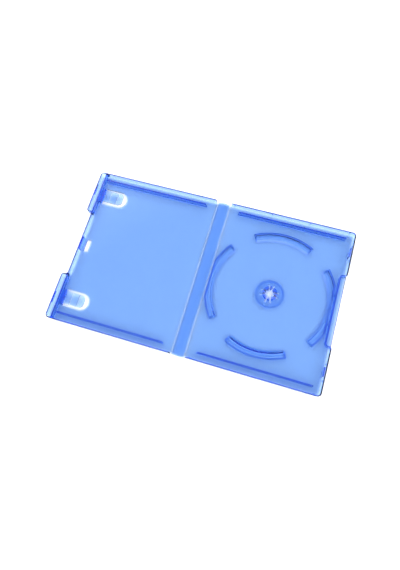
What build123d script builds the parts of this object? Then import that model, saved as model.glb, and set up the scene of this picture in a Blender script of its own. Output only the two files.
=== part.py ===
from build123d import *
import math
import os

# A moulded disc case for one game disc, opened flat with its outer faces on the table.
# Millimetres. X runs across the open case (lid on -X, disc tray on +X), Y along the spine, Z up.
# The origin is the middle of the spine's outer face. Each half is modelled on +X and the lid is mirrored.

# The closed case
case_height = 171.0  # along the spine
case_width = 135.0  # from the spine to the opening edge
case_depth = 14.0  # lid face to tray face

# The moulding
panel_t = 1.2
wall_t = 1.2
corner_r = 4.0
inner_edge_r = 0.9  # fillet at the foot of a wall, inside
rim_gap = 0.2  # between the two rims of the closed case

# The two living hinges, one each side of the spine
web_t = 0.5
web_w = 1.0
web_end_cut = 1.4  # the webs stop this short of the case's ends
wall_end_foot = 0.3  # the walls start this far from the web
wall_end_slope = 0.21  # run of a wall's end for each millimetre of height
spine_fit_gap = 0.35  # between the spine's end gables and the walls' ends, closed
spine_pad_t = 0.5  # the spine is this much thicker between the walls

# The finger recess in the opening edge
recess_half_length = 36.4
recess_depth = 6.0
recess_mouth_r = 3.0
recess_root_r = 2.2

# The long ribs beside the top and bottom walls
rib_inset = 8.2  # from the end of the case to the rib's middle
rib_t = 1.4
rib_drop = 0.2  # the rib stops this far below the rim
rib_hinge_inset = 9.6  # from the web to the rib's end
rib_edge_inset = 9.2  # from the opening edge to the rib's other end
rib_end_slope = 0.3

# The disc and what holds it
disc_r = 60.0
disc_hole_r = 7.5
disc_t = 1.2
seat_z = 3.0  # the level the disc lies on
skin_t = 1.3  # wall of the raised, hollow forms
disc_edge_clear = 1.2  # between the disc and the latch slot

# The hub
hub_clear = 0.2  # between the disc's hole and the fingers
hub_bead = 0.22  # how far the snap bead stands out of a finger
hub_ring_r = 14.2
hub_ring_t = 1.7
hub_ring_wall_t = 1.2
hub_skirt_run = 2.0  # the skirt slopes out this far from the ring to the panel
hub_skirt_rise = 0.2
hub_height = 6.4
hub_finger_t = 2.4
hub_hole_r = 3.2
hub_slot_w = 1.3
hub_slot_r = 9.8  # the slots end at this radius
hub_slot_end_r = 0.95  # each slot ends in a round hole, so that it doesn't tear
hub_slot_angle = 16.5  # each pair of slots stands this far each side of an axis
hub_dip = 1.0  # the rosette falls this much towards its hole
hub_bead_rise = 0.3  # from the disc up to the bead that holds it

# The four arcs under the disc's rim
arc_shelf_w = 2.65  # ledge that carries the disc's rim
arc_skirt_run = 3.6  # the arcs slope this far down from the ledge to the panel
arc_rim_clear = 1.9  # from the disc's rim out to the lip
arc_lip_w = 4.1
arc_lip_rise = 1.2
arc_end_spread = 28.0  # half the angle of the arcs towards the case's ends
arc_side_spread = 38.5  # half the angle of the arcs towards the hinge and the opening edge
arc_hinge_gap = 1.35  # from the hinge web to the arc cut off beside it

# The latches along the opening edge
latch_slot_w = 1.6
latch_slot_half = 15.0
slot_rib_t = 0.9
hook_half = 6.75
hook_block_t = 1.7
hook_tongue_t = 1.0
hook_reach = 2.2  # how far the tongue passes the parting plane
channel_corner_r = 1.6  # corners of the channel between the lid's inset wall and its outer wall
window_gap = 1.9  # panel left between the hook and its window
window_w = 4.8
catch_y = 63.5  # middle of the lid's side catches
catch_length = 12.0
catch_t = 0.9
catch_h = 1.4
snap_y = 62.0  # middle of the tray's snap tabs
snap_length = 9.0
snap_t = 1.0
snap_standoff = 1.3  # between the tab and the outer wall
snap_barb = 0.9
snap_barb_h = 0.9
snap_gap = 0.15  # between the barb and the catch, closed
snap_rib_t = 0.8
snap_rib_out = 1.0
snap_rib_spread = 8.0  # from the tab's middle to the rib each side of it

# Small upright ribs inside the tray's top and bottom walls
key_rib_t = 0.9
key_rib_out = 0.8
key_rib_count = 4
key_rib_hinge_inset = 5.0
key_rib_edge_inset = 7.0

# Shallow groove along the tray beside its hinge
groove_inset = 1.9  # from the web
groove_w = 0.8
groove_depth = 0.3

# The two clips that hold a booklet in the lid
clip_y = 60.0
clip_root_w = 16.0
clip_w = 13.0
clip_t = 1.2
clip_tip_r = 4.0
clip_riser_t = 1.2
clip_riser_inset = 2.2  # from the inset wall to the riser
clip_length = 23.3  # from the riser to the tip
clip_bend_at = 9.0  # from the riser to the first bend
clip_crease_at = 16.7  # from the riser to the crease
clip_root_z = 3.6
clip_bend_z = 3.0
clip_crease_z = 2.4
clip_tip_z = 3.2
clip_bend_r = 3.0
clip_notch_w = 1.5  # the tongue is thinned along each bend
clip_notch_depth = 0.6
clip_hole_half_w = 9.2
clip_hole_past_tip = 4.5

# Places that follow from the sizes above
half_height = case_height / 2
mid_z = case_depth / 2
rim_z = mid_z - rim_gap / 2
hinge_z = web_t / 2
hinge_x = mid_z - hinge_z  # so that the closed halves lie parallel, case_depth apart
edge_x = hinge_x + web_w / 2
spine_half = hinge_x - web_w / 2
reach_x = hinge_x - hinge_z + case_width
recess_x = reach_x - recess_depth
inset_face_x = recess_x - wall_t
slot_x = inset_face_x - latch_slot_w
hub_x = slot_x - disc_edge_clear - disc_r
lip_z = seat_z + arc_lip_rise
bevel = panel_t - web_t
outer_edge_r = inner_edge_r + wall_t  # so that the wall keeps its thickness round its foot
over = 5.0  # how far a cutting solid runs past what it cuts
near = 1e-3  # points this close count as the same


def block(x0, x1, y0, y1, z0, z1):
    """A box between two corners."""
    size = Box(x1 - x0, y1 - y0, z1 - z0)
    return Pos((x0 + x1) / 2, (y0 + y1) / 2, (z0 + z1) / 2) * size


def along_y(points, y0, y1):
    """An outline of (x, z) points, drawn out from y0 to y1."""
    face = make_face(Polyline(*[(x, 0, z) for x, z in points], close=True))
    return Pos(0, y0, 0) * extrude(face, y1 - y0, dir=(0, 1, 0))


def round_hub(points, middle=0.0, spread=180.0):
    """An outline of (r, z) points turned about the hub's axis, spread degrees each side of middle."""
    face = make_face(Polyline(*[(r, 0, z) for r, z in points], close=True))
    turned = revolve(face, Axis.Z, 2 * spread)
    return Pos(hub_x, 0, 0) * Rot(0, 0, middle - spread) * turned


def corners_at(sheet, x, y):
    """The corners of a flat outline at x and at plus or minus y."""
    return [v for v in sheet.vertices() if abs(v.X - x) < near and abs(abs(v.Y) - y) < near]


def half_outline(recessed):
    """One half seen from above. Its hinge side runs past the hinge and is trimmed later."""
    x0 = edge_x - over
    sheet = Pos((x0 + reach_x) / 2, 0) * Rectangle(reach_x - x0, case_height)
    if recessed:
        mouth = Rectangle(2 * recess_depth, 2 * recess_half_length)
        sheet = sheet - Pos(reach_x, 0) * mouth
        sheet = fillet(corners_at(sheet, recess_x, recess_half_length), recess_root_r)
        sheet = fillet(corners_at(sheet, reach_x, recess_half_length), recess_mouth_r)
    return fillet(corners_at(sheet, reach_x, half_height), corner_r)


def pocket(sheet):
    """The space above a panel inside an outline, rounded at the foot of its walls."""
    space = extrude(Pos(0, 0, panel_t) * sheet, rim_z)
    foot = space.edges().group_by(Axis.Z)[0]
    return fillet(foot, inner_edge_r)


def rounded_base(body, radius):
    """Rounds the outer edges that a moulding stands on, apart from those at its hinge side."""
    low = body.edges().group_by(Axis.Z)[0]
    outside = [e for e in low if e.center().X > edge_x + over / 2 or abs(e.center().Y) > over]
    return fillet(outside, radius)


def hinge_side_cut():
    """What is trimmed off a half at its hinge: the walls' sloping ends and the panel's bevel."""
    x0 = edge_x - 2 * over
    foot_x = edge_x + wall_end_foot
    head_x = foot_x + wall_end_slope * (case_depth - web_t)
    wall_ends = [
        (x0, -over),
        (edge_x, -over),
        (edge_x, web_t),
        (foot_x, web_t),
        (head_x, case_depth),
        (x0, case_depth),
    ]
    panel_bevel = [
        (x0, web_t),
        (edge_x, web_t),
        (edge_x + bevel + over, panel_t + over),
        (x0, panel_t + over),
    ]
    inner_y = half_height - wall_t
    return along_y(wall_ends, -case_height, case_height) + along_y(panel_bevel, -inner_y, inner_y)


def long_ribs():
    """The two full-height ribs beside the top and bottom walls, with sloping ends at the hinge."""
    top = rim_z - rib_drop
    x0 = edge_x + rib_hinge_inset
    x1 = reach_x - rib_edge_inset
    outline = [(x0, 0), (x1, 0), (x1, top), (x0 + rib_end_slope * top, top)]
    middle = half_height - rib_inset
    rib = along_y(outline, middle - rib_t / 2, middle + rib_t / 2)
    return rib + mirror(rib, about=Plane.XZ)


def clip_hole(y):
    """The D-shaped hole under a booklet clip."""
    x1 = inset_face_x - clip_riser_inset - clip_riser_t
    x0 = inset_face_x - clip_riser_inset - clip_length - clip_hole_past_tip + clip_hole_half_w
    shape = Pos((x0 + x1) / 2, y) * Rectangle(x1 - x0, 2 * clip_hole_half_w)
    shape = shape + Pos(x0, y) * Circle(clip_hole_half_w)
    return Pos(0, 0, -over) * extrude(shape, 2 * over)


def booklet_clip(y):
    """A springy tongue that starts from a block at the inset wall and dips to grip a booklet."""
    riser_x = inset_face_x - clip_riser_inset
    tip_x = riser_x - clip_length
    upper = [
        (inset_face_x, clip_root_z),
        (riser_x, clip_root_z),
        (riser_x - clip_bend_at, clip_bend_z),
        (riser_x - clip_crease_at, clip_crease_z),
        (tip_x, clip_tip_z),
    ]
    lower = [(x, z - clip_t) for x, z in reversed(upper)]
    face = make_face(Polyline(*[(x, 0, z) for x, z in upper + lower], close=True))
    bends = [v for v in face.vertices() if tip_x + clip_t < v.X < inset_face_x - clip_t]
    face = fillet(bends, clip_bend_r)
    strip = Pos(0, y - clip_root_w / 2, 0) * extrude(face, clip_root_w, dir=(0, 1, 0))
    plan = Pos((tip_x + riser_x) / 2, y) * Rectangle(riser_x - tip_x, clip_w)
    tip = [v for v in plan.vertices() if abs(v.X - tip_x) < near]
    plan = fillet(tip, clip_tip_r)
    root_x = riser_x - clip_riser_t
    root = Pos((root_x + inset_face_x) / 2, y) * Rectangle(inset_face_x - root_x, clip_root_w)
    tongue = strip & extrude(plan + root, case_depth)
    for at, z in ((clip_bend_at, clip_bend_z), (clip_crease_at, clip_crease_z)):
        x0 = riser_x - at - clip_notch_w / 2
        notch_z = z - clip_t + clip_notch_depth
        tongue = tongue - block(x0, x0 + clip_notch_w, y - clip_w, y + clip_w, 0, notch_z)
    foot_x = inset_face_x + wall_t / 2
    foot = block(root_x, foot_x, y - clip_root_w / 2, y + clip_root_w / 2, 0, clip_root_z)
    return tongue + foot


def lid_hook():
    """The lid's middle latch: a block on the inset wall whose thin tongue enters the tray's slot."""
    x2 = inset_face_x + wall_t / 2
    body = block(inset_face_x - hook_block_t, x2, -hook_half, hook_half, 0, rim_z - rib_drop)
    top = mid_z + hook_reach
    x1 = inset_face_x - (latch_slot_w - hook_tongue_t) / 2
    x0 = x1 - hook_tongue_t
    lead = hook_tongue_t / 2
    point = [(x1, top - lead), (x1 - lead / 2, top), (x0 + lead / 2, top), (x0, top - lead)]
    return body + along_y([(x0, panel_t), (x1, panel_t)] + point, -hook_half, hook_half)


def hook_window():
    """The opening through the panel beside the hook."""
    x1 = inset_face_x - hook_block_t - window_gap
    return block(x1 - window_w, x1, -hook_half, hook_half, -over, over)


def side_catches():
    """Thickened bars on the lid's outer wall that the tray's snap tabs hook behind."""
    face_x = reach_x - wall_t
    half = catch_length / 2
    low = rim_z - catch_h
    outline = [
        (face_x + wall_t / 2, low - catch_t),
        (face_x, low - catch_t),
        (face_x - catch_t, low),
        (face_x - catch_t, rim_z),
        (face_x + wall_t / 2, rim_z),
    ]
    bar = along_y(outline, catch_y - half, catch_y + half)
    return bar + mirror(bar, about=Plane.XZ)


def lid_half():
    """The lid: panel, outer wall, inset wall, ribs, booklet clips, hook and catches."""
    body = rounded_base(extrude(half_outline(True), rim_z), outer_edge_r)
    inner_y = half_height - wall_t
    x0 = edge_x - 2 * over
    main = Pos((x0 + inset_face_x) / 2, 0) * Rectangle(inset_face_x - x0, 2 * inner_y)
    main = fillet(corners_at(main, inset_face_x, inner_y), corner_r - wall_t)
    body = body - pocket(main)
    channel_w = recess_depth - wall_t
    channel_y0 = recess_half_length + wall_t
    channel = RectangleRounded(channel_w, inner_y - channel_y0, channel_corner_r)
    for side in (-1, 1):
        place = Pos(recess_x + channel_w / 2, side * (channel_y0 + inner_y) / 2)
        body = body - pocket(place * channel)
    body = body - hinge_side_cut()
    body = body + long_ribs() + lid_hook() + side_catches()
    body = body - hook_window()
    for side in (-1, 1):
        body = body - clip_hole(side * clip_y)
        body = body + booklet_clip(side * clip_y)
    return body


def arc_outline(inset):
    """Section of a disc arc as (r, z), with a slope, ledge and lip. Its hollow is inset by the skin."""
    r0 = disc_r - arc_shelf_w + arc_rim_clear + inset
    r1 = disc_r + arc_rim_clear + inset
    r2 = disc_r + arc_rim_clear + arc_lip_w - inset
    foot = -over if inset else 0
    ledge = seat_z - inset
    lip = lip_z - inset
    run = arc_skirt_run * (ledge - foot) / seat_z
    return [(r0 - run, foot), (r2, foot), (r2, lip), (r1, lip), (r1, ledge), (r0, ledge)]


def disc_arcs(inset):
    """The four arcs round the hub, cut off straight at the hinge and at the latch slot."""
    trim = math.degrees(inset / disc_r)
    arcs = None
    for middle in (0, 90, 180, 270):
        spread = arc_end_spread if middle in (90, 270) else arc_side_spread
        arc = round_hub(arc_outline(inset), middle, spread - trim)
        arcs = arc if arcs is None else arcs + arc
    x0 = edge_x + arc_hinge_gap + inset
    return arcs & block(x0, slot_x - inset, -case_height, case_height, -case_depth, case_depth)


def hub_body():
    """The hub: a raised ring on a sloping skirt, with a rosette of fingers through the disc's hole."""
    ring_inner_r = hub_ring_r - hub_ring_wall_t
    skirt_r = hub_ring_r + hub_skirt_run
    finger_r = disc_hole_r - hub_clear
    bead_r = finger_r + hub_bead
    bead_z = seat_z + disc_t + hub_bead_rise
    inner_r = finger_r - hub_finger_t
    outline = [
        (skirt_r, 0),
        (skirt_r, panel_t),
        (hub_ring_r, panel_t + hub_skirt_rise),
        (hub_ring_r, seat_z),
        (finger_r, seat_z),
        (finger_r, bead_z),
        (bead_r, bead_z + hub_bead),
        (bead_r, bead_z + 2 * hub_bead),
        (finger_r - hub_bead, hub_height - hub_bead),
        (finger_r - 2 * hub_bead, hub_height),
        (hub_hole_r, hub_height - hub_dip),
        (hub_hole_r, hub_height - hub_dip - skin_t),
        (inner_r, hub_height - hub_dip - skin_t),
        (inner_r, seat_z - hub_ring_t),
        (ring_inner_r, seat_z - hub_ring_t),
        (ring_inner_r, 0),
    ]
    return round_hub(outline)


def hub_hollow():
    """The open space under the hub."""
    roof_r = hub_ring_r - hub_ring_wall_t
    roof_z = seat_z - hub_ring_t
    return round_hub([(0, -over), (roof_r, -over), (roof_r, roof_z), (0, roof_z)])


def hub_slots():
    """Eight slots in pairs that part the rosette into fingers."""
    length = hub_slot_r - hub_slot_end_r
    shape = Pos(length / 2, 0) * Rectangle(length, hub_slot_w) + Pos(length, 0) * Circle(hub_slot_end_r)
    slot = extrude(shape, case_depth)
    slots = None
    for quarter in range(4):
        for side in (-1, 1):
            turned = Rot(0, 0, 90 * quarter + side * hub_slot_angle) * slot
            slots = turned if slots is None else slots + turned
    return Pos(hub_x, 0, 0) * slots


def slot_ribs():
    """Small ribs that close the latch slot at both ends."""
    x0 = slot_x - skin_t / 2
    x1 = inset_face_x + wall_t / 2
    rib = block(x0, x1, latch_slot_half, latch_slot_half + slot_rib_t, 0, lip_z)
    return rib + mirror(rib, about=Plane.XZ)


def snap_tabs():
    """Springy tabs inside the tray's outer wall whose barbs hook behind the lid's catches."""
    x1 = reach_x - wall_t - snap_standoff
    x0 = x1 - snap_t
    catch_top = case_depth - (rim_z - catch_h - catch_t)
    barb_z = catch_top + snap_gap
    top_z = barb_z + snap_barb_h
    outline = [(x0, 0), (x1, 0), (x1, barb_z), (x1 + snap_barb, barb_z), (x1, top_z), (x0, top_z)]
    tab = along_y(outline, snap_y - snap_length / 2, snap_y + snap_length / 2)
    face_x = reach_x - wall_t
    for side in (-1, 1):
        y0 = snap_y + side * snap_rib_spread - snap_rib_t / 2
        tab = tab + block(face_x - snap_rib_out, face_x + wall_t / 2, y0, y0 + snap_rib_t, 0, rim_z)
    return tab + mirror(tab, about=Plane.XZ)


def key_ribs():
    """Upright ribs inside the top and bottom walls that keep the closed lid in line."""
    first = edge_x + key_rib_hinge_inset
    last = reach_x - key_rib_edge_inset
    face_y = half_height - wall_t
    ribs = None
    for i in range(key_rib_count):
        x0 = first + (last - first) * i / (key_rib_count - 1) - key_rib_t / 2
        rib = block(x0, x0 + key_rib_t, face_y - key_rib_out, face_y + wall_t / 2, 0, rim_z)
        ribs = rib if ribs is None else ribs + rib
    return ribs + mirror(ribs, about=Plane.XZ)


def hinge_groove():
    """A shallow groove along the tray beside its hinge."""
    x0 = edge_x + groove_inset
    inner_y = half_height - wall_t
    return block(x0, x0 + groove_w, -inner_y, inner_y, panel_t - groove_depth, panel_t + over)


def tray_half():
    """The tray: panel, wall with a finger recess, ribs, disc arcs, hub, latch slot and snap tabs."""
    full = rounded_base(extrude(half_outline(False), rim_z), outer_edge_r)
    outline = half_outline(True)
    floor = block(edge_x - 2 * over, reach_x, -half_height, half_height, 0, panel_t)
    body = (full & floor) + (full & extrude(outline, rim_z))
    body = body - pocket(offset(outline, -wall_t))
    body = body - hinge_side_cut() - hinge_groove()
    body = body + long_ribs() + key_ribs() + snap_tabs()
    body = body + disc_arcs(0) + slot_ribs() - disc_arcs(skin_t)
    body = body + hub_body() - hub_hollow()
    return body - hub_slots()


def spine():
    """The spine: a plate bevelled to both webs, thicker in the middle, with a low gable at each end."""
    flat = spine_half - bevel
    section = [
        (-spine_half, 0),
        (spine_half, 0),
        (spine_half, web_t),
        (flat, panel_t),
        (-flat, panel_t),
        (-spine_half, web_t),
    ]
    plate = along_y(section, -half_height, half_height)
    foot_x = edge_x + wall_end_foot - spine_fit_gap
    low = foot_x + wall_end_slope * (hinge_x - flat + hinge_z - web_t) - hinge_x + hinge_z
    peak = foot_x + wall_end_slope * (mid_z - web_t) - hinge_x + hinge_z
    roof = [(-flat, 0), (flat, 0), (flat, low), (0, peak), (-flat, low)]
    gable = along_y(roof, half_height - wall_t, half_height)
    top = flat - spine_pad_t
    pad_z = panel_t + spine_pad_t
    pad_y = half_height - wall_t - spine_fit_gap
    rise = [(-flat, 0), (flat, 0), (flat, panel_t), (top, pad_z), (-top, pad_z), (-flat, panel_t)]
    return plate + along_y(rise, -pad_y, pad_y) + gable + mirror(gable, about=Plane.XZ)


def hinge_web():
    """The thin web between the spine and one half, cut back at both ends."""
    y = half_height - web_end_cut
    return block(spine_half, edge_x, -y, y, 0, web_t)


def main():
    os.makedirs("parts", exist_ok=True)
    pieces = {
        "tray": tray_half(),
        "lid": mirror(lid_half(), about=Plane.YZ),
        "spine": spine(),
        "tray_hinge_web": hinge_web(),
        "lid_hinge_web": mirror(hinge_web(), about=Plane.YZ),
    }
    for name, piece in pieces.items():
        export_step(piece, f"parts/{name}.step")


main()
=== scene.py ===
import math

import bmesh
import bpy
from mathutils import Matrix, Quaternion, Vector


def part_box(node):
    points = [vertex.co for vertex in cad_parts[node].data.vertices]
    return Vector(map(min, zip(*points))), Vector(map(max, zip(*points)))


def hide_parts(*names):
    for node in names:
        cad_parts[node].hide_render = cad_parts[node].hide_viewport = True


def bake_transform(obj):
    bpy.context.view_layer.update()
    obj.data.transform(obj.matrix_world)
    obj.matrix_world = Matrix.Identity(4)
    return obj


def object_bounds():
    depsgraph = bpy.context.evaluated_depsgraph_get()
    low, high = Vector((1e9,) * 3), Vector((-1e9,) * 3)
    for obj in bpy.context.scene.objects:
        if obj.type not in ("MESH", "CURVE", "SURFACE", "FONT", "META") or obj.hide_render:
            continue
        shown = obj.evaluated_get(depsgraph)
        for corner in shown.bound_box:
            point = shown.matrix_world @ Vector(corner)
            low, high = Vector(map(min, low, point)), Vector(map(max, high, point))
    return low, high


bl_info = {
    "name": "Game disc case",
    "version": (1, 0, 0),
    "blender": (4, 5, 0),
    "location": "3D View > Sidebar > Disc Case",
    "description": "Dresses a see-through disc case: its plastic, its living hinges and its stage",
    "category": "Object",
}

# A moulded disc case, open flat on a white backdrop. Lengths are metres, as in the frame.
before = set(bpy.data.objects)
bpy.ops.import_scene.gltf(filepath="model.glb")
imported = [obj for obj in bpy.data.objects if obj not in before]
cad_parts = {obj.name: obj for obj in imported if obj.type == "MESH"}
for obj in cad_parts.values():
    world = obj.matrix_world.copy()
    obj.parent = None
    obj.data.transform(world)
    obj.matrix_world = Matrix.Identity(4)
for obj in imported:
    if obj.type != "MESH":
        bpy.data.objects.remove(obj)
cad_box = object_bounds()

MM = 0.001
WHITE = (1.0, 1.0, 1.0, 1.0)
PLASTIC = "polypropylene_clear_blue_moulded"
MOULDED_NODES = ("tray", "lid", "spine")

RIPPLE_LAYERS = 1.0  # finer ripples on top of the first ones
RIPPLE_FINENESS = 0.4  # how strong the finer ones are
HAZE_START = 0.35  # ripple noise at which the plastic is at its clearest
HAZE_END = 0.7  # ripple noise at which it is at its cloudiest
PAPER_ROUGHNESS = 0.9
PAPER_SPECULAR = 0.2
SHARP_ANGLE = math.radians(40)  # edges of a hinge strip that turn further stay sharp
SENSOR_WIDTH = 36.0  # millimetres


def linear(hex_colour):
    """The linear red, green and blue of an sRGB hex colour."""
    values = [int(hex_colour[i:i + 2], 16) / 255 for i in (0, 2, 4)]
    return [v / 12.92 if v <= 0.04045 else ((v + 0.055) / 1.055) ** 2.4 for v in values]


def add_node(tree, kind, inputs=None, **settings):
    """Adds a node with its settings. An input is a value, or an output socket to link from."""
    node = tree.nodes.new(kind)
    for name, value in settings.items():
        setattr(node, name, value)
    for name, value in (inputs or {}).items():
        if isinstance(value, bpy.types.NodeSocket):
            tree.links.new(value, node.inputs[name])
        else:
            node.inputs[name].default_value = value
    return node


class DiscCasePlastic(bpy.types.PropertyGroup):
    """The case's plastic."""

    absorption: bpy.props.FloatVectorProperty(
        name="Colour through depth",
        description="What the plastic lets through as light goes deeper into it",
        subtype="COLOR",
        size=3,
        min=0.0,
        max=1.0,
        default=linear("10BAFD"),
    )
    density: bpy.props.FloatProperty(
        name="Density",
        description="How fast the colour deepens, for each metre of plastic",
        default=562.0,
        min=0.0,
    )
    ior: bpy.props.FloatProperty(
        name="Refractive index",
        description="Clarified polypropylene has about 1.49",
        default=1.49,
        min=1.0,
    )
    roughness: bpy.props.FloatProperty(
        name="Roughness",
        description="Haze of the moulded surface at its clearest",
        subtype="FACTOR",
        default=0.01,
        min=0.0,
        max=1.0,
    )
    haze: bpy.props.FloatProperty(
        name="Haze",
        description="Added roughness in the cloudier streaks",
        subtype="FACTOR",
        default=0.02,
        min=0.0,
        max=1.0,
    )
    ripple_size: bpy.props.FloatProperty(
        name="Ripple size",
        description="Distance between the soft ripples that the cooling plastic leaves",
        unit="LENGTH",
        default=14 * MM,
        min=MM,
    )
    ripple_height: bpy.props.FloatProperty(
        name="Ripple height",
        description="Height of the ripples",
        unit="LENGTH",
        default=0.005 * MM,
        min=0.0,
    )


class DiscCaseHinges(bpy.types.PropertyGroup):
    """The two living hinges."""

    waist: bpy.props.FloatProperty(
        name="Waist",
        description="Thickness of the hinge in its middle, where it bends",
        unit="LENGTH",
        default=0.36 * MM,
        min=0.1 * MM,
    )
    seam: bpy.props.FloatProperty(
        name="Seam",
        description="Gap to the panels beside the hinge, so that their faces don't meet",
        unit="LENGTH",
        default=0.01 * MM,
        min=0.0,
    )
    end_flare: bpy.props.FloatProperty(
        name="End flare",
        description="How far the hinge's corners run past the middle of its end",
        unit="LENGTH",
        default=0.4 * MM,
        min=0.0,
    )
    steps: bpy.props.IntProperty(
        name="Steps",
        description="Strips across the hinge, so that it bends smoothly",
        default=20,
        min=4,
    )


class DiscCaseStage(bpy.types.PropertyGroup):
    """The backdrop, the lights and the camera."""

    floor_colour: bpy.props.FloatVectorProperty(
        name="Backdrop",
        description="Colour of the paper that the case lies on",
        subtype="COLOR",
        size=3,
        min=0.0,
        max=1.0,
        default=linear("F6F6F6"),
    )
    floor_size: bpy.props.FloatProperty(
        name="Backdrop size",
        description="Side of the paper sheet",
        unit="LENGTH",
        default=4.0,
        min=0.5,
    )
    floor_drop: bpy.props.FloatProperty(
        name="Backdrop gap",
        description="Air between the case's outer faces and the paper",
        unit="LENGTH",
        default=1.2 * MM,
        min=0.0,
    )
    horizon_light: bpy.props.FloatProperty(
        name="Light at the horizon",
        description="Strength of the white light from the studio's walls",
        default=1.05,
        min=0.0,
    )
    softbox_light: bpy.props.FloatProperty(
        name="Light from the softboxes",
        description="Strength of the white light from the softboxes all round",
        default=3.2,
        min=0.0,
    )
    ceiling_light: bpy.props.FloatProperty(
        name="Light overhead",
        description="Strength of the ceiling's light, dim because the plastic's faces mirror it",
        default=0.72,
        min=0.0,
    )
    softbox_foot: bpy.props.FloatProperty(
        name="Softboxes' foot",
        description="Sine of the elevation at which the softboxes start",
        default=0.36,
        min=0.0,
        max=1.0,
    )
    softbox_head: bpy.props.FloatProperty(
        name="Softboxes' head",
        description="Sine of the elevation at which the softboxes end",
        default=0.78,
        min=0.0,
        max=1.0,
    )
    soft_edge: bpy.props.FloatProperty(
        name="Soft edge",
        description="How far the light fades past the softboxes' foot and head, as a sine",
        default=0.12,
        min=0.0,
        max=1.0,
    )
    target: bpy.props.FloatVectorProperty(
        name="Aim",
        description="Point that the camera looks at",
        subtype="TRANSLATION",
        unit="LENGTH",
        size=3,
        default=(0.65 * MM, -9.22 * MM, 0.0),
    )
    distance: bpy.props.FloatProperty(
        name="Distance",
        description="From the camera to its aim",
        unit="LENGTH",
        default=463.6 * MM,
        min=0.01,
    )
    azimuth: bpy.props.FloatProperty(
        name="Azimuth",
        description="How far the camera stands round to the tray's side",
        subtype="ANGLE",
        default=math.radians(28.13),
    )
    elevation: bpy.props.FloatProperty(
        name="Elevation",
        description="Height of the camera above the horizon",
        subtype="ANGLE",
        default=math.radians(73.04),
    )
    roll: bpy.props.FloatProperty(
        name="Roll",
        description="Turn of the camera about its own line of sight",
        subtype="ANGLE",
        default=math.radians(-12.0),
    )
    lens: bpy.props.FloatProperty(
        name="Lens",
        description="Focal length in millimetres, on a 36 mm sensor",
        default=28.4,
        min=1.0,
    )


def moulded_plastic(settings):
    """Clarified polypropylene, tinted blue and injection moulded in a polished mould."""
    # Clear enough to see the backdrop through, and glossy from the polished mould. The tint lies in
    # the plastic's depth, so that a panel is pale blue and an edge or a wall deep blue.
    material = bpy.data.materials.new(PLASTIC)
    material.use_nodes = True
    tree = material.node_tree
    tree.nodes.clear()
    place = add_node(tree, "ShaderNodeTexCoord")
    ripples = add_node(
        tree,
        "ShaderNodeTexNoise",
        {
            "Vector": place.outputs["Object"],
            "Scale": 1 / settings.ripple_size,
            "Detail": RIPPLE_LAYERS,
            "Roughness": RIPPLE_FINENESS,
        },
    )
    bump = add_node(
        tree,
        "ShaderNodeBump",
        {"Height": ripples.outputs["Fac"], "Distance": settings.ripple_height, "Strength": 1.0},
    )
    haze = add_node(
        tree,
        "ShaderNodeMapRange",
        {
            "Value": ripples.outputs["Fac"],
            "From Min": HAZE_START,
            "From Max": HAZE_END,
            "To Min": settings.roughness,
            "To Max": settings.roughness + settings.haze,
        },
    )
    surface = add_node(
        tree,
        "ShaderNodeBsdfPrincipled",
        {
            "Base Color": WHITE,
            "Metallic": 0.0,
            "Roughness": haze.outputs["Result"],
            "IOR": settings.ior,
            "Transmission Weight": 1.0,
            "Normal": bump.outputs["Normal"],
        },
    )
    depth = add_node(
        tree,
        "ShaderNodeVolumeAbsorption",
        {"Color": (*settings.absorption, 1.0), "Density": settings.density},
    )
    add_node(
        tree,
        "ShaderNodeOutputMaterial",
        {"Surface": surface.outputs["BSDF"], "Volume": depth.outputs["Volume"]},
    )
    return material


def backdrop_paper(settings):
    """Seamless studio paper, rolled and uncoated."""
    # Matt and nearly white, so that it reads as plain light behind the plastic.
    material = bpy.data.materials.new("seamless_paper_white")
    material.use_nodes = True
    tree = material.node_tree
    tree.nodes.clear()
    surface = add_node(
        tree,
        "ShaderNodeBsdfPrincipled",
        {
            "Base Color": (*settings.floor_colour, 1.0),
            "Roughness": PAPER_ROUGHNESS,
            "Specular IOR Level": PAPER_SPECULAR,
        },
    )
    add_node(tree, "ShaderNodeOutputMaterial", {"Surface": surface.outputs["BSDF"]})
    return material


def mesh_object(name, mesh):
    """Puts a mesh into the scene as an object."""
    piece = bpy.data.objects.new(name, mesh)
    bpy.context.scene.collection.objects.link(piece)
    return piece


def hinge_strip(name, node, settings):
    """A living hinge as a closed strip: flat below, waisted above, with flared ends."""
    low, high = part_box(node)
    x0 = low.x + settings.seam
    x1 = high.x - settings.seam
    thick = high.z - low.z
    rows = []
    bm = bmesh.new()
    for i in range(settings.steps + 1):
        share = i / settings.steps
        x = x0 + (x1 - x0) * share
        out = (2 * share - 1) ** 2
        top = settings.waist + (thick - settings.waist) * out
        end = high.y + settings.end_flare * (out - 1)
        corners = [(x, -end, low.z), (x, end, low.z), (x, end, low.z + top), (x, -end, low.z + top)]
        rows.append([bm.verts.new(c) for c in corners])
    for near, far in zip(rows, rows[1:]):
        for k in range(4):
            after = (k + 1) % 4
            bm.faces.new((near[k], near[after], far[after], far[k]))
    bm.faces.new(rows[0])
    bm.faces.new(reversed(rows[-1]))
    bmesh.ops.recalc_face_normals(bm, faces=bm.faces)
    for face in bm.faces:
        face.smooth = True
    mesh = bpy.data.meshes.new(name)
    bm.to_mesh(mesh)
    bm.free()
    mesh.set_sharp_from_angle(angle=SHARP_ANGLE)
    return mesh_object(name, mesh)


class DISCCASE_OT_plastic(bpy.types.Operator):
    """Give the tray, the lid and the spine their moulded plastic"""

    bl_idname = "disc_case.plastic"
    bl_label = "Moulded Plastic"

    def execute(self, context):
        material = moulded_plastic(context.scene.disc_case_plastic)
        for name in MOULDED_NODES:
            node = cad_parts[name]
            for place in node.material_slots:
                place.material = material
        return {"FINISHED"}


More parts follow.
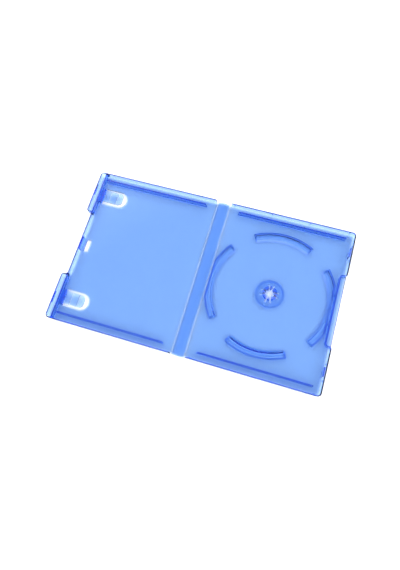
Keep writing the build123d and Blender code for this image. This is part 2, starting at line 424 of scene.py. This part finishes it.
class DISCCASE_OT_hinges(bpy.types.Operator):
    """Build the two living hinges, which bend between the spine and each half"""

    bl_idname = "disc_case.hinges"
    bl_label = "Living Hinges"

    def execute(self, context):
        settings = context.scene.disc_case_hinges
        material = bpy.data.materials[PLASTIC]
        for half in ("tray", "lid"):
            node = f"{half}_hinge_web"
            strip = hinge_strip(f"{half}_living_hinge", node, settings)
            strip.data.materials.append(material)
            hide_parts(node)
            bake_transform(strip)
        return {"FINISHED"}


class DISCCASE_OT_stage(bpy.types.Operator):
    """Lay the backdrop, hang the soft light and place the camera"""

    bl_idname = "disc_case.stage"
    bl_label = "Stage"

    def execute(self, context):
        settings = context.scene.disc_case_stage
        make_floor(settings)
        make_lights(context.scene, settings)
        make_camera(context.scene, settings)
        context.scene.view_settings.view_transform = "Standard"
        return {"FINISHED"}


def make_floor(settings):
    """A flat sheet of backdrop paper just under the case."""
    half = settings.floor_size / 2
    z = cad_box[0].z - settings.floor_drop
    corners = [(-half, -half, z), (half, -half, z), (half, half, z), (-half, half, z)]
    mesh = bpy.data.meshes.new("backdrop")
    mesh.from_pydata(corners, [], [(0, 1, 2, 3)])
    floor = mesh_object("backdrop", mesh)
    mesh.materials.append(backdrop_paper(settings))


def make_lights(scene, settings):
    """Soft white light from softboxes all round, under a dim ceiling."""
    world = bpy.data.worlds.new("studio")
    scene.world = world
    world.use_nodes = True
    tree = world.node_tree
    tree.nodes.clear()
    direction = add_node(tree, "ShaderNodeTexCoord")
    height = add_node(tree, "ShaderNodeSeparateXYZ", {"Vector": direction.outputs["Generated"]})
    walls = add_node(
        tree,
        "ShaderNodeMapRange",
        {
            "Value": height.outputs["Z"],
            "From Min": settings.softbox_foot,
            "From Max": settings.softbox_foot + settings.soft_edge,
            "To Min": settings.horizon_light,
            "To Max": settings.softbox_light,
        },
    )
    strength = add_node(
        tree,
        "ShaderNodeMapRange",
        {
            "Value": height.outputs["Z"],
            "From Min": settings.softbox_head,
            "From Max": settings.softbox_head + settings.soft_edge,
            "To Min": walls.outputs["Result"],
            "To Max": settings.ceiling_light,
        },
    )
    light = add_node(
        tree,
        "ShaderNodeBackground",
        {"Color": WHITE, "Strength": strength.outputs["Result"]},
    )
    add_node(tree, "ShaderNodeOutputWorld", {"Surface": light.outputs["Background"]})


def make_camera(scene, settings):
    """The camera, at the angle from which the case was photographed."""
    data = bpy.data.cameras.new("camera")
    data.lens = settings.lens
    data.sensor_width = SENSOR_WIDTH
    data.sensor_fit = "AUTO"
    data.dof.use_dof = False
    camera = bpy.data.objects.new("camera", data)
    level = math.cos(settings.elevation)
    back = Vector((
        math.sin(settings.azimuth) * level,
        -math.cos(settings.azimuth) * level,
        math.sin(settings.elevation),
    ))
    camera.location = Vector(settings.target) + back * settings.distance
    camera.rotation_mode = "QUATERNION"
    turn = Quaternion(Vector((0.0, 0.0, 1.0)), settings.roll)
    camera.rotation_quaternion = (-back).to_track_quat("-Z", "Y") @ turn
    scene.collection.objects.link(camera)
    scene.camera = camera


class DISCCASE_PT_panel(bpy.types.Panel):
    """The disc case's settings and operators"""

    bl_idname = "DISCCASE_PT_panel"
    bl_label = "Disc Case"
    bl_space_type = "VIEW_3D"
    bl_region_type = "UI"
    bl_category = "Disc Case"

    def draw(self, context):
        groups = (
            (context.scene.disc_case_plastic, DISCCASE_OT_plastic),
            (context.scene.disc_case_hinges, DISCCASE_OT_hinges),
            (context.scene.disc_case_stage, DISCCASE_OT_stage),
        )
        for settings, operator in groups:
            part = self.layout.box()
            part.operator(operator.bl_idname)
            for name in settings.__annotations__:
                part.prop(settings, name)


CLASSES = (
    DiscCasePlastic,
    DiscCaseHinges,
    DiscCaseStage,
    DISCCASE_OT_plastic,
    DISCCASE_OT_hinges,
    DISCCASE_OT_stage,
    DISCCASE_PT_panel,
)


def register():
    for item in CLASSES:
        bpy.utils.register_class(item)
    bpy.types.Scene.disc_case_plastic = bpy.props.PointerProperty(type=DiscCasePlastic)
    bpy.types.Scene.disc_case_hinges = bpy.props.PointerProperty(type=DiscCaseHinges)
    bpy.types.Scene.disc_case_stage = bpy.props.PointerProperty(type=DiscCaseStage)


def unregister():
    del bpy.types.Scene.disc_case_stage
    del bpy.types.Scene.disc_case_hinges
    del bpy.types.Scene.disc_case_plastic
    for item in reversed(CLASSES):
        bpy.utils.unregister_class(item)


def main():
    register()
    bpy.ops.disc_case.plastic()
    bpy.ops.disc_case.hinges()
    bpy.ops.disc_case.stage()


if __name__ == "__main__":
    main()
